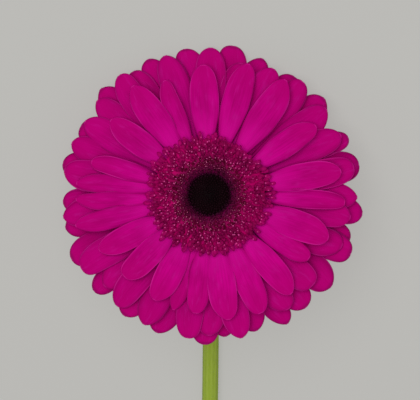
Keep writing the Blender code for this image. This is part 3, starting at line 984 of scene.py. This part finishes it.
def makeFlorets(tree):
    for name, zone in floretZones.items():
        draw = random.Random(zone["seed"])
        meshes = []
        for i in range(floretRule["variants"]):  # beaded and hooked in turn
            meshes.append(floretMesh(f"{name}{i}", draw, i % 2 == 1, **floretForms[name]))
        variants = variantCollection(name + "Forms", meshes)
        makeZone(tree, name, zone, variants, "florets", "floret_ring")
        dropCollection(variants)


def budMesh(name, draw):
    work = bmesh.new()
    tone = work.verts.layers.float.new("tone")
    high = bud["height"] * draw.uniform(*bud["heightSpan"])
    path = [(0, -bud["sunk"]), (0, high * 0.35), (0, high * 0.75), (0, high)]
    thick = [bud["width"] * share for share in (0.8, 1.0, 0.72, 0.12)]
    sweep(work, tone, path, thick, thick, (0.0, 0.3, 0.7, 1.0), 6)
    for i in range(bud["hairs"]):
        yaw = math.tau * (i + draw.random()) / bud["hairs"]
        hair = arc((bud["hairOff"], high * 0.2), 0.2, 0.2, high * 1.1, 2)
        sweep(work, tone, hair, bud["hairThick"], bud["hairThick"], (0.6, 0.8, 1.0), 3, yaw)
    return finishedMesh(work, name)


def makeMiddle(tree):
    steps = disc["domeSteps"]
    radii = [disc["domeRadius"] / steps * i for i in range(steps + 1)]
    profile = [(radius, domeHeight(radius)) for radius in radii]
    profile += [(disc["domeRadius"], bloom["floretSeat"]), (0, bloom["floretSeat"])]
    finish = floretFinish("domeBlack", disc["domeDeep"], disc["domeBlack"], disc["domeDeep"], 0.0)
    makeTurned("budDome", profile, disc["domeAround"], finish, "buds", "dark_middle")
    draw = random.Random(bud["seed"])
    meshes = [budMesh(f"bud{i}", draw) for i in range(bud["variants"])]
    variants = variantCollection("budForms", meshes)
    for name, zone in budZones.items():
        makeZone(tree, name, zone, variants, "buds", "dark_middle")
    dropCollection(variants)


# The involucre: the green cup behind the bloom and its overlapping bracts

cup = {
    "wall": 0.7 * mm,
    "profile": [(15.9, -6.1), (15.4, -7.6), (13.9, -9.2), (11.8, -11.1), (9.1, -13.2), (6.6, -15.5)],
    "foot": [(5.2, -16.2), (4.2, -16.6), (3.6, -16.4)],  # closes in under the skin of the stem
    "around": 60,
}
bract = {
    "thickness": 0.35 * mm,
    "along": 14,
    "across": 7,
    "rows": [  # count, height of root and tip, half width, in mm
        (15, -15.9, -11.4, 1.5),
        (19, -14.8, -9.0, 1.75),
        (23, -13.2, -6.9, 1.85),
        (26, -11.4, -5.7, 1.8),
    ],
    "liftRoot": 0.1 * mm,
    "liftTip": 0.55 * mm,
    "keel": 0.35 * mm,
    "stagger": 0.37,  # share of a bract by which each row is turned past the one below
    "lowestLevel": 0.42 * mm,  # the lower rows lie over the upper ones
    "levelStep": 0.14 * mm,
    "turnSpan": (-0.12, 0.12),
    "tipSpan": (-0.6, 0.6),
    "skewSpan": (0.08, 0.2),
    "seed": 2,
    "green": (0.115, 0.19, 0.035),
    "deep": (0.06, 0.11, 0.02),
    "edge": (0.20, 0.08, 0.06),
    "pale": (0.30, 0.36, 0.16),
}


def bractTree():
    wire, given = geometryTree(
        "bractRow",
        {
            "Points": ("Geometry", None),
            "Along": ("Int", bract["along"]),
            "Across": ("Int", bract["across"]),
            "Lift Root": ("Float", bract["liftRoot"]),
            "Lift Tip": ("Float", bract["liftTip"]),
            "Material": ("Material", None),
        },
    )
    real = sheetRow(wire, given)
    s = attribute(wire, "along")
    x = attribute(wire, "across")
    root, tip = attribute(wire, "root"), attribute(wire, "tip")
    height = root + (tip - root) * s
    top, bottom = cup["profile"][0][1] * mm, cup["profile"][-1][1] * mm
    widest = cup["profile"][0][0]
    shape = [((h * mm - bottom) / (top - bottom), r / widest) for r, h in reversed(cup["profile"])]
    inCup = (height - bottom) / (top - bottom)
    radius = wire.node("ShaderNodeFloatCurve", {"curve": shape}, {"Value": inCup}) * (widest * mm)
    lift = given["Lift Root"] + (given["Lift Tip"] - given["Lift Root"]) * s
    keel = (1 - x * x) * bract["keel"] * (1 - s * 0.5)
    radius = radius + lift + keel + attribute(wire, "level") + x * attribute(wire, "skew")
    width = attribute(wire, "half") * (1 - s ** 1.8).math("MAXIMUM", 0.04)
    angle = attribute(wire, "turn") + x * width / radius
    place = wire.join(radius * angle.math("SINE"), radius * angle.math("COSINE"), height)
    shaped = wire.node("GeometryNodeSetPosition", (), {"Geometry": real, "Position": place})
    return endTree(wire, shaped, given["Material"])


def greenFinish(name):
    finish, shader, wire = newMaterial(name, {"Roughness": 0.6, "Specular IOR Level": 0.25})
    along, across, shade = stored(wire, "along", "across", "shade")
    mottle = noise(wire, wire.node("ShaderNodeTexCoord", (), (), 3), 420.0, 4.0)
    sides = across.math("ABSOLUTE")
    body = (mottle.smooth(0.3, 0.7) * 0.7 + shade * 0.2).mix(bract["deep"], bract["green"])
    rib = (1 - sides.smooth(0.0, 0.35)) * 0.35 * (1 - along * 0.5)
    body = rib.mix(body, bract["pale"])
    edge = (sides.smooth(0.7, 1.0) + along.smooth(0.82, 1.0)).math("MINIMUM", 1.0) * 0.55
    feed(shader, "Base Color", edge.mix(body, bract["edge"]))
    raised(shader, wire, 0.6, 0.06 * mm, mottle)
    return finish


def makeInvolucre():
    finish = greenFinish("bractGreen")
    outer = [(r * mm, h * mm) for r, h in cup["profile"] + cup["foot"]]
    inner = [(r * mm - cup["wall"], h * mm) for r, h in reversed(cup["profile"])]
    makeTurned("involucreCup", outer + inner, cup["around"], finish, "bracts", "involucre")
    draw = random.Random(bract["seed"])
    rows = []
    for level, (count, root, tip, half) in enumerate(bract["rows"]):
        for i in range(count):
            share = i + bract["stagger"] * level + draw.uniform(*bract["turnSpan"])
            rows.append(
                {
                    "turn": math.tau * share / count,
                    "root": root * mm,
                    "tip": (tip + draw.uniform(*bract["tipSpan"])) * mm,
                    "half": half * mm,
                    "skew": draw.uniform(*bract["skewSpan"]) * mm,
                    "level": bract["lowestLevel"] - bract["levelStep"] * level,
                    "shade": draw.uniform(-1, 1),
                }
            )
    piece = grown("bracts", bractTree(), pointMesh("bractPoints", rows), {}, (finish,))
    wall = piece.modifiers.new("thickness", "SOLIDIFY")
    wall.thickness = bract["thickness"]
    wall.offset = 0
    applyAll(piece)
    piece.data.transform(bloomMatrix)
    seat(piece, "bracts", "involucre")


# The stem, from inside the cup to its slanting cut

receptacle = [(-6.0, 14.4), (-8.0, 13.7), (-10.5, 11.2), (-13.0, 7.8), (-15.5, 5.0), (-17.5, 3.7)]
stemColours = {
    "green": (0.26, 0.365, 0.028),
    "light": (0.33, 0.44, 0.055),
    "dark": (0.19, 0.29, 0.02),
    "flush": (0.25, 0.22, 0.06),
    "pith": (0.62, 0.68, 0.40),
    "ring": (0.30, 0.42, 0.12),
    "hair": (0.50, 0.56, 0.30),
}


def stemRoute():
    route = [(bloomMatrix @ Vector((0, 0, height * mm)), radius * mm) for height, radius in receptacle]
    start = bloomMatrix @ Vector((0, 0, bloom["neckStart"]))
    for i in range(1, stem["neckSteps"] + 1):
        angle = bloom["tilt"] + (math.pi / 2 - bloom["tilt"]) * i / stem["neckSteps"]
        ahead = neckRadius * (math.cos(bloom["tilt"]) - math.cos(angle))
        down = neckRadius * (math.sin(angle) - math.sin(bloom["tilt"]))
        route.append((start + Vector((0, ahead, -down)), stem["radius"]))
    end = stem["length"] - stem["endRadius"] * math.tan(stem["cutSlope"]) - stem["endSpare"]
    steps = round((end - bloom["neckEnd"]) / stem["stepLength"])
    for i in range(1, steps + 1):
        y = bloom["neckEnd"] + (end - bloom["neckEnd"]) * i / steps
        share = max(y, 0) / stem["length"]
        radius = stem["radius"] + (stem["endRadius"] - stem["radius"]) * share
        route.append((Vector((stem["sway"] * share * share, y, radius)), radius))
    return route


def tubeTree():
    wire, given = geometryTree(
        "ribbedTube",
        {
            "Line": ("Geometry", None),
            "Ribs": ("Int", stem["ribs"]),
            "Rib Depth": ("Float", stem["ribDepth"] / stem["radius"]),
            "Around": ("Int", stem["around"]),
            "Material": ("Material", None),
        },
    )
    rail = wire.node("GeometryNodeMeshToCurve", (), {0: given["Line"]})
    circle = {"Resolution": given["Around"], "Radius": 1.0}
    ring = wire.node("GeometryNodeCurvePrimitiveCircle", {"mode": "RADIUS"}, circle)
    x, y, _ = wire.node("GeometryNodeInputPosition").split()
    rib = (y.math("ARCTAN2", x) * given["Ribs"]).math("COSINE") * 0.5 + 0.5
    shrink = 1 - (1 - rib) * given["Rib Depth"]
    ring = keep(wire, ring, "rib", rib)
    ribbed = {"Geometry": ring, "Position": wire.join(x * shrink, y * shrink, 0.0)}
    ring = wire.node("GeometryNodeSetPosition", (), ribbed)
    joined = {"Curve": rail, "Profile Curve": ring, "Scale": attribute(wire, "thick"), "Fill Caps": True}
    return endTree(wire, wire.node("GeometryNodeCurveToMesh", (), joined), given["Material"])


def stemFinish():
    finish, shader, wire = newMaterial("stemGreen", {"Specular IOR Level": 0.15})
    rib, pith = stored(wire, "rib", "pith")
    place = wire.node("ShaderNodeTexCoord", (), (), 3)
    stretched = wire.node("ShaderNodeMapping", (), {"Vector": place, "Scale": (1.0, 0.12, 1.0)})
    fibres = noise(wire, stretched, 1500.0, 4.0)
    clouds = noise(wire, place, 55.0, 3.0)
    specks = noise(wire, place, 2600.0, 1.0)
    streaked = rib * 0.5 + fibres.smooth(0.3, 0.7) * 0.5
    body = streaked.mix(stemColours["green"], stemColours["light"])
    body = (clouds.smooth(0.48, 0.75) * 0.45).mix(body, stemColours["dark"])
    y = place.split()[1]
    flush = (1 - y.smooth(*stem["flushNear"])) * 0.25 + y.smooth(*stem["flushFar"]) * 0.35
    body = (flush * clouds.smooth(0.3, 0.6)).mix(body, stemColours["flush"])
    body = (specks.smooth(0.62, 0.74) * 0.3).mix(body, stemColours["light"])
    cut = pith.smooth(0.02, 0.1)
    core = pith.smooth(0.25, 0.5).mix(stemColours["ring"], stemColours["pith"])
    feed(shader, "Base Color", cut.mix(body, core))
    feed(shader, "Roughness", 0.5 + fibres * 0.2 + cut * 0.1)
    raised(shader, wire, 0.5, 0.05 * mm, fibres * 0.6 + specks * 0.4)
    return finish


def shapeCut(mesh):
    # shears the last ring to the slope of the cut and gives the cut face rings of pith
    work = bmesh.new()
    work.from_mesh(mesh)
    pith = work.verts.layers.float.new("pith")
    end = max(vert.co.y for vert in work.verts)
    last = [vert for vert in work.verts if vert.co.y > end - 0.4 * stem["stepLength"]]
    middle = sum((vert.co for vert in last), Vector()) / len(last)
    for vert in last:
        vert.co.y -= (vert.co.z - middle.z) * math.tan(stem["cutSlope"])
    face = next(face for face in work.faces if len(face.verts) > 4 and face.verts[0] in last)
    middle = face.calc_center_median()
    for shrink, value in stem["pithRings"]:
        bmesh.ops.inset_region(work, faces=[face], thickness=0)
        for vert in face.verts:
            vert[pith] = value
            vert.co = middle + (vert.co - middle) * shrink
            vert.co.y -= stem["pithStep"]
    centre = bmesh.ops.poke(work, faces=[face])["verts"]
    for vert in centre:
        vert[pith] = 1.0
    work.to_mesh(mesh)
    work.free()


def hairTree():
    wire, given = geometryTree(
        "shortHairs",
        {
            "Skin": ("Geometry", None),
            "Density": ("Float", 1.0),
            "Length": ("Float", stem["hairLength"]),
            "Width": ("Float", stem["hairWidth"]),
            "Seed": ("Int", 4),
            "Material": ("Material", None),
        },
    )
    draw = drawsFrom(wire, given["Seed"])
    scatter = {"Mesh": given["Skin"], "Density": given["Density"], "Seed": given["Seed"]}
    scattered = wire.node("GeometryNodeDistributePointsOnFaces", (), scatter)
    normal = Wire(wire.tree, scattered.socket.node.outputs["Rotation"])
    shape = {"Vertices": 3, "Radius Top": 0.0, "Radius Bottom": given["Width"], "Depth": given["Length"]}
    cone = wire.node("GeometryNodeMeshCone", {"fill_type": "NGON"}, shape)
    most = stem["hairLean"]
    leaning = wire.join(draw(-most, most, 1), draw(-most, most, 2), 0.0)
    lean = wire.node("FunctionNodeEulerToRotation", (), {0: leaning})
    facing = wire.node("FunctionNodeRotateRotation", {"rotation_space": "LOCAL"}, {0: normal, 1: lean})
    size = draw(*stem["hairSpan"], 3)
    placed = {
        "Points": scattered,
        "Instance": cone,
        "Rotation": facing,
        "Scale": wire.join(size, size, size),
    }
    copies = wire.node("GeometryNodeInstanceOnPoints", (), placed)
    return endTree(wire, copies, given["Material"])


def makeStem():
    route = stemRoute()
    line = bpy.data.meshes.new("stemLine")
    pairs = [(i, i + 1) for i in range(len(route) - 1)]
    line.from_pydata([place for place, _ in route], pairs, [])
    thick = line.attributes.new("thick", "FLOAT", "POINT")
    thick.data.foreach_set("value", [radius for _, radius in route])
    piece = grown("scape", tubeTree(), line, {}, (stemFinish(),))
    shapeCut(piece.data)
    seat(piece, "stem", "stem")
    finish, _, _ = newMaterial(
        "hairPale", {"Base Color": (*stemColours["hair"], 1), "Roughness": 0.6}
    )
    density = {"Density": stem["hairs"] / sum(face.area for face in piece.data.polygons)}
    hairs = grown("scapeHairs", hairTree(), piece.data.copy(), density, (finish,))
    keepOffFloor(hairs)
    seat(hairs, "stem", "stem")


def keepOffFloor(piece):
    for vert in piece.data.vertices:
        vert.co.z = max(vert.co.z, stem["hairLowest"])


# The stage: a pale floor, soft lights and the camera

stage = {
    "floor": (0.16, 0.158, 0.151),
    "floorGlow": (0.353, 0.350, 0.334),  # lifts the soft shadows, like a light table
    "floorSize": 6.0,
    "ambient": (1.0, 1.0, 1.0),
    "ambientStrength": 0.40,
    "keyPower": 40.0,
    "keySize": 1.6,
    "keyDistance": 2.4,
    "keyLeft": 0.14,  # how far the key light stands off the bloom's axis
    "keyUp": 0.04,
    "viewWidth": 155.4 * mm,  # what the camera sees at the bloom
    "distance": 777 * mm,
    "sensor": 36.0,
    "sideways": math.radians(0.6),
    "shiftRight": 0.26 * mm,
    "shiftDown": 2.0 * mm,
}


def makeStage():
    mesh = bpy.data.meshes.new("floor")
    half = stage["floorSize"] / 2
    corners = [(-half, -half, 0), (half, -half, 0), (half, half, 0), (-half, half, 0)]
    mesh.from_pydata(corners, [], [(0, 1, 2, 3)])
    floor = addObject("floor", mesh)
    constants = {
        "Base Color": (*stage["floor"], 1),
        "Roughness": 0.9,
        "Specular IOR Level": 0.0,
        "Emission Color": (*stage["floorGlow"], 1),
        "Emission Strength": 1.0,
    }
    finish, _, _ = newMaterial("floorPale", constants)
    mesh.materials.append(finish)
    world = bpy.data.worlds.new("softAir")
    bpy.context.scene.world = world
    world.use_nodes = True
    air = world.node_tree.nodes["Background"]
    air.inputs["Color"].default_value = (*stage["ambient"], 1)
    air.inputs["Strength"].default_value = stage["ambientStrength"]


def lookFrom(made, place, target, up):
    away = (place - target).normalized()
    right = up.cross(away).normalized()
    turned = Matrix((right, away.cross(right), away)).transposed().to_4x4()
    made.matrix_world = Matrix.Translation(place) @ turned


def makeCameraAndLights():
    centre = bloomMatrix.translation
    normal = bloomMatrix.to_3x3() @ Vector((0, 0, 1))
    right = Vector((-1, 0, 0))
    up = normal.cross(right)
    target = centre + right * stage["shiftRight"] - up * stage["shiftDown"]
    aside = normal * math.cos(stage["sideways"]) + right * math.sin(stage["sideways"])
    data = bpy.data.cameras.new("camera")
    data.sensor_width = stage["sensor"]
    data.lens = stage["sensor"] * stage["distance"] / stage["viewWidth"]
    data.clip_start = 0.01
    camera = addObject("camera", data)
    lookFrom(camera, target + aside * stage["distance"], target, up)
    bpy.context.scene.camera = camera
    lamp = bpy.data.lights.new("softKey", "AREA")
    lamp.shape = "DISK"
    lamp.size = stage["keySize"]
    lamp.energy = stage["keyPower"]
    key = addObject("softKey", lamp)
    side = (normal - right * stage["keyLeft"] + up * stage["keyUp"]).normalized()
    lookFrom(key, centre + side * stage["keyDistance"], centre, up)


print("floor and camera")
makeStage()
makeCameraAndLights()
bpy.context.scene.view_settings.view_transform = "Standard"
print("rays")
makeRays()
print("disc")
makeCushion()
spiral = spiralTree()
makeFlorets(spiral)
makeMiddle(spiral)
print("involucre and stem")
makeInvolucre()
makeStem()
